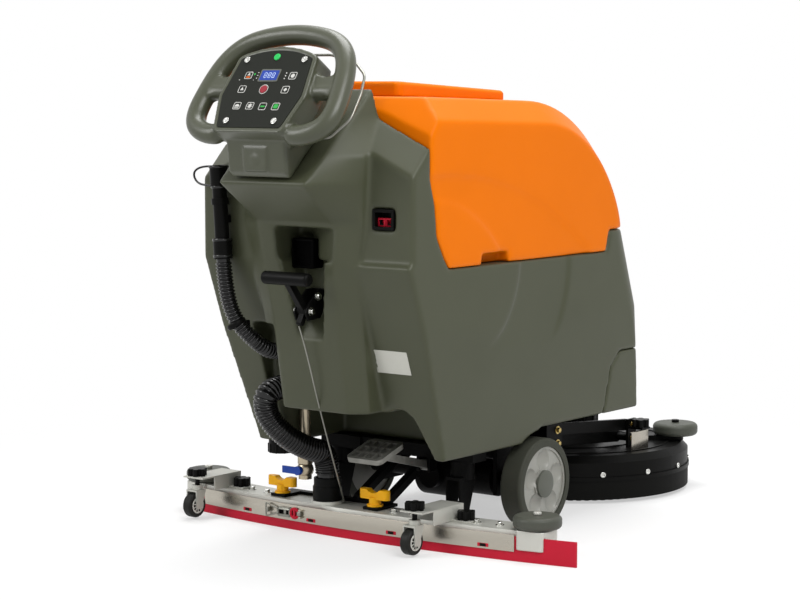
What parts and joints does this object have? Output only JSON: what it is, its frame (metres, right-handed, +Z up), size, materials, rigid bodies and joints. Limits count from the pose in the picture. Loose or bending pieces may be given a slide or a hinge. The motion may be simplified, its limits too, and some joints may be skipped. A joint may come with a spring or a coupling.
{
  "type": "floor scrubber dryer",
  "caption": "Walk-behind floor scrubber dryer with a grey solution tank, tilting orange recovery tank, ring handle, disc brush deck, bowed squeegee and ribbed hoses.",
  "frame": {"origin": "on the floor, under the middle of the bounding box", "axes": "+X to the machine's right, +Y forward towards the brush deck, +Z up"},
  "size_m": [0.966, 1.3394, 0.989],
  "materials": {
    "grey_shell": "moulded, satin",
    "orange_shell": "moulded, satin",
    "black_plastic": "moulded, fine texture",
    "black_steel": "powder coat",
    "hose_black": "ribbed, satin",
    "skirt_rubber": "matte",
    "roller_grey": "matte",
    "tyre_grey": "matte",
    "hub_grey": "moulded",
    "steel": "brushed",
    "cast_grey": "cast, satin",
    "red_rubber": "smooth",
    "yellow_plastic": "moulded",
    "blue_plastic": "dipped",
    "brass": "plated",
    "bristle": "nylon bristle",
    "panel_black": "satin membrane",
    "key_green": "smooth",
    "key_red": "smooth"
  },
  "bodies": {
    "chassis": {"solution_tank": "grey_shell", "front_cover": "grey_shell", "chassis_frame": "black_steel", "batteries": "black_plastic", "drive_transaxle": "black_steel", "charge_socket": "black_plastic", "control_head": "grey_shell", "control_panel": "panel_black", "lever_bracket": "black_steel", "suction_hose": "hose_black", "drain_hose": "hose_black", "drain_spout": "black_plastic", "lift_cable": "steel", "filter_cup": "black_plastic", "ball_valve": "brass"},
    "recovery_tank_body": {"recovery_tank": "orange_shell"},
    "lid_body": {"tank_lid": "orange_shell"},
    "left_wheel": {"left_tyre": "tyre_grey", "left_wheel_hub": "hub_grey"},
    "right_wheel": {"right_tyre": "tyre_grey", "right_wheel_hub": "hub_grey"},
    "left_rear_swivel": {"left_rear_fork": "black_steel"},
    "right_rear_swivel": {"right_rear_fork": "black_steel"},
    "left_rear_wheel": {"left_rear_caster": "tyre_grey"},
    "right_rear_wheel": {"right_rear_caster": "tyre_grey"},
    "upper_arms": {"deck_upper_arms": "black_steel"},
    "lower_arms": {"deck_lower_arms": "black_steel"},
    "deck": {"brush_deck": "black_plastic", "deck_skirt": "skirt_rubber", "brush_motor": "black_steel"},
    "brush": {"scrub_brush": "bristle"},
    "deck_roller": {"deck_bumper_wheel": "roller_grey"},
    "deck_knob_body": {"deck_knob": "black_plastic"},
    "pedal": {"foot_pedal": "black_plastic"},
    "squeegee": {"squeegee_carrier": "black_steel", "squeegee_head": "cast_grey", "squeegee_strap": "steel", "squeegee_blades": "red_rubber", "squeegee_end_caps": "cast_grey", "caster_brackets": "steel", "hose_cuff": "black_plastic"},
    "latch": {"strap_latch": "steel"},
    "lever": {"lift_lever": "black_plastic"},
    "bail": {"bail_switch": "steel"},
    "power_key": {"power_button": "key_green"},
    "stop_key": {"stop_button": "key_red"},
    "valve_lever": {"valve_handle": "blue_plastic"},
    "cap": {"drain_cap": "black_plastic"},
    "left_squeegee_swivel": {"left_squeegee_fork": "steel"},
    "left_squeegee_caster": {"left_squeegee_wheel": "tyre_grey"},
    "left_end_roller": {"left_bumper_roller": "roller_grey"},
    "left_wing": {"left_wing_knob": "yellow_plastic"},
    "left_height": {"left_height_knob": "black_plastic"},
    "left_clamp": {"left_clamp_knob": "black_plastic"},
    "right_squeegee_swivel": {"right_squeegee_fork": "steel"},
    "right_squeegee_caster": {"right_squeegee_wheel": "tyre_grey"},
    "right_end_roller": {"right_bumper_roller": "roller_grey"},
    "right_wing": {"right_wing_knob": "yellow_plastic"},
    "right_height": {"right_height_knob": "black_plastic"},
    "right_clamp": {"right_clamp_knob": "black_plastic"}
  },
  "joints": [
    {"name": "tank_tilt", "type": "hinge", "parent": "chassis", "child": "recovery_tank_body", "pos_m": [-0.257, -0.115, 0.548], "axis": [0, -1, 0], "range_deg": [0, 55]},
    {"name": "lid_hinge", "type": "hinge", "parent": "recovery_tank_body", "child": "lid_body", "pos_m": [0, -0.03, 0.85568], "axis": [-1, 0, 0], "range_deg": [0, 80]},
    {"name": "left_wheel_spin", "type": "hinge", "parent": "chassis", "child": "left_wheel", "pos_m": [-0.218, -0.052, 0.091], "axis": [1, 0, 0], "continuous": true},
    {"name": "left_rear_swivel_turn", "type": "hinge", "parent": "chassis", "child": "left_rear_swivel", "pos_m": [-0.15, -0.205, 0.14], "axis": [0, 0, 1], "continuous": true},
    {"name": "left_rear_wheel_spin", "type": "hinge", "parent": "left_rear_swivel", "child": "left_rear_wheel", "pos_m": [-0.15, -0.225, 0.036], "axis": [1, 0, 0], "continuous": true},
    {"name": "left_squeegee_swivel_turn", "type": "hinge", "parent": "squeegee", "child": "left_squeegee_swivel", "pos_m": [-0.385, -0.386, 0.062], "axis": [0, 0, 1], "continuous": true},
    {"name": "left_squeegee_wheel_spin", "type": "hinge", "parent": "left_squeegee_swivel", "child": "left_squeegee_caster", "pos_m": [-0.385, -0.396, 0.028], "axis": [1, 0, 0], "continuous": true},
    {"name": "left_end_roller_spin", "type": "hinge", "parent": "squeegee", "child": "left_end_roller", "pos_m": [-0.437, -0.295, 0.072], "axis": [0, 0, 1], "continuous": true},
    {"name": "left_wing_knob_turn", "type": "hinge", "parent": "squeegee", "child": "left_wing", "pos_m": [-0.208, -0.326, 0.08], "axis": [0, 0, 1], "continuous": true},
    {"name": "left_height_knob_turn", "type": "hinge", "parent": "squeegee", "child": "left_height", "pos_m": [-0.385, -0.386, 0.094], "axis": [0, 0, 1], "continuous": true},
    {"name": "left_clamp_knob_turn", "type": "hinge", "parent": "squeegee", "child": "left_clamp", "pos_m": [-0.333, -0.30771, 0.068], "axis": [0, 0, 1], "continuous": true},
    {"name": "right_wheel_spin", "type": "hinge", "parent": "chassis", "child": "right_wheel", "pos_m": [0.218, -0.052, 0.091], "axis": [1, 0, 0], "continuous": true},
    {"name": "right_rear_swivel_turn", "type": "hinge", "parent": "chassis", "child": "right_rear_swivel", "pos_m": [0.15, -0.205, 0.14], "axis": [0, 0, 1], "continuous": true},
    {"name": "right_rear_wheel_spin", "type": "hinge", "parent": "right_rear_swivel", "child": "right_rear_wheel", "pos_m": [0.15, -0.225, 0.036], "axis": [1, 0, 0], "continuous": true},
    {"name": "right_squeegee_swivel_turn", "type": "hinge", "parent": "squeegee", "child": "right_squeegee_swivel", "pos_m": [0.185, -0.406, 0.062], "axis": [0, 0, 1], "continuous": true},
    {"name": "right_squeegee_wheel_spin", "type": "hinge", "parent": "right_squeegee_swivel", "child": "right_squeegee_caster", "pos_m": [0.185, -0.416, 0.028], "axis": [1, 0, 0], "continuous": true},
    {"name": "right_end_roller_spin", "type": "hinge", "parent": "squeegee", "child": "right_end_roller", "pos_m": [0.387, -0.295, 0.072], "axis": [0, 0, 1], "continuous": true},
    {"name": "right_wing_knob_turn", "type": "hinge", "parent": "squeegee", "child": "right_wing", "pos_m": [0.028, -0.326, 0.08], "axis": [0, 0, 1], "continuous": true},
    {"name": "right_height_knob_turn", "type": "hinge", "parent": "squeegee", "child": "right_height", "pos_m": [0.185, -0.406, 0.094], "axis": [0, 0, 1], "continuous": true},
    {"name": "right_clamp_knob_turn", "type": "hinge", "parent": "squeegee", "child": "right_clamp", "pos_m": [0.237, -0.31305, 0.068], "axis": [0, 0, 1], "continuous": true},
    {"name": "deck_lift", "type": "hinge", "parent": "chassis", "child": "upper_arms", "pos_m": [0, 0.106, 0.172], "axis": [1, 0, 0], "range_deg": [0, 6]},
    {"name": "deck_level", "type": "hinge", "parent": "upper_arms", "child": "deck", "pos_m": [0, 0.399, 0.146], "axis": [1, 0, 0], "range_deg": [-6, 0]},
    {"name": "lower_arm_turn", "type": "hinge", "parent": "chassis", "child": "lower_arms", "pos_m": [0, 0.106, 0.144], "axis": [1, 0, 0], "range_deg": [0, 6]},
    {"name": "pedal_press", "type": "hinge", "parent": "chassis", "child": "pedal", "pos_m": [0.07, -0.215, 0.134], "axis": [1, 0, 0], "range_deg": [0, 7.69]},
    {"name": "brush_spin", "type": "hinge", "parent": "deck", "child": "brush", "pos_m": [0, 0.414, 0.07], "axis": [0, 0, 1], "continuous": true},
    {"name": "deck_roller_spin", "type": "hinge", "parent": "deck", "child": "deck_roller", "pos_m": [0.19, 0.541, 0.123], "axis": [0, 0, 1], "continuous": true},
    {"name": "deck_knob_turn", "type": "hinge", "parent": "deck", "child": "deck_knob_body", "pos_m": [0.187, 0.399, 0.152], "axis": [0, 0, 1], "continuous": true},
    {"name": "squeegee_lift", "type": "hinge", "parent": "chassis", "child": "squeegee", "pos_m": [-0.011, -0.144, 0.138], "axis": [-1, 0, 0], "range_deg": [0, 12], "deforming": ["suction_hose", "lift_cable"]},
    {"name": "lever_pull", "type": "hinge", "parent": "chassis", "child": "lever", "pos_m": [0, -0.504, 0.458], "axis": [1, 0, 0], "range_deg": [0, 65]},
    {"name": "latch_open", "type": "hinge", "parent": "squeegee", "child": "latch", "pos_m": [-0.128, -0.36728, 0.035], "axis": [0, 0, 1], "range_deg": [0, 100]},
    {"name": "bail_press", "type": "hinge", "parent": "chassis", "child": "bail", "pos_m": [0, -0.58397, 0.78368], "axis": [1, 0, 0], "range_deg": [0, 7], "stiffness_Nm_per_rad": 3, "springref_deg": -5.73},
    {"name": "power_press", "type": "slide", "parent": "chassis", "child": "power_key", "axis": [0, 0.8329, -0.5534], "range_m": [0, 0.001], "stiffness_N_per_m": 400, "springref_m": -0.0005},
    {"name": "stop_press", "type": "slide", "parent": "chassis", "child": "stop_key", "axis": [0, 0.8329, -0.5534], "range_m": [0, 0.001], "stiffness_N_per_m": 400, "springref_m": -0.0005},
    {"name": "valve_turn", "type": "hinge", "parent": "chassis", "child": "valve_lever", "pos_m": [-0.138, -0.363, 0.12], "axis": [0, 1, 0], "range_deg": [0, 90]},
    {"name": "cap_pull", "type": "slide", "parent": "chassis", "child": "cap", "axis": [-0.064, 0, 0.998], "range_m": [0, 0.03]}
  ],
  "couplings": [
    {"joint": "deck_level", "follows": "deck_lift", "ratio": -1},
    {"joint": "lower_arm_turn", "follows": "deck_lift", "ratio": 1},
    {"joint": "pedal_press", "follows": "deck_lift", "ratio": 1.282},
    {"joint": "lever_pull", "follows": "squeegee_lift", "ratio": 5.416}
  ]
}
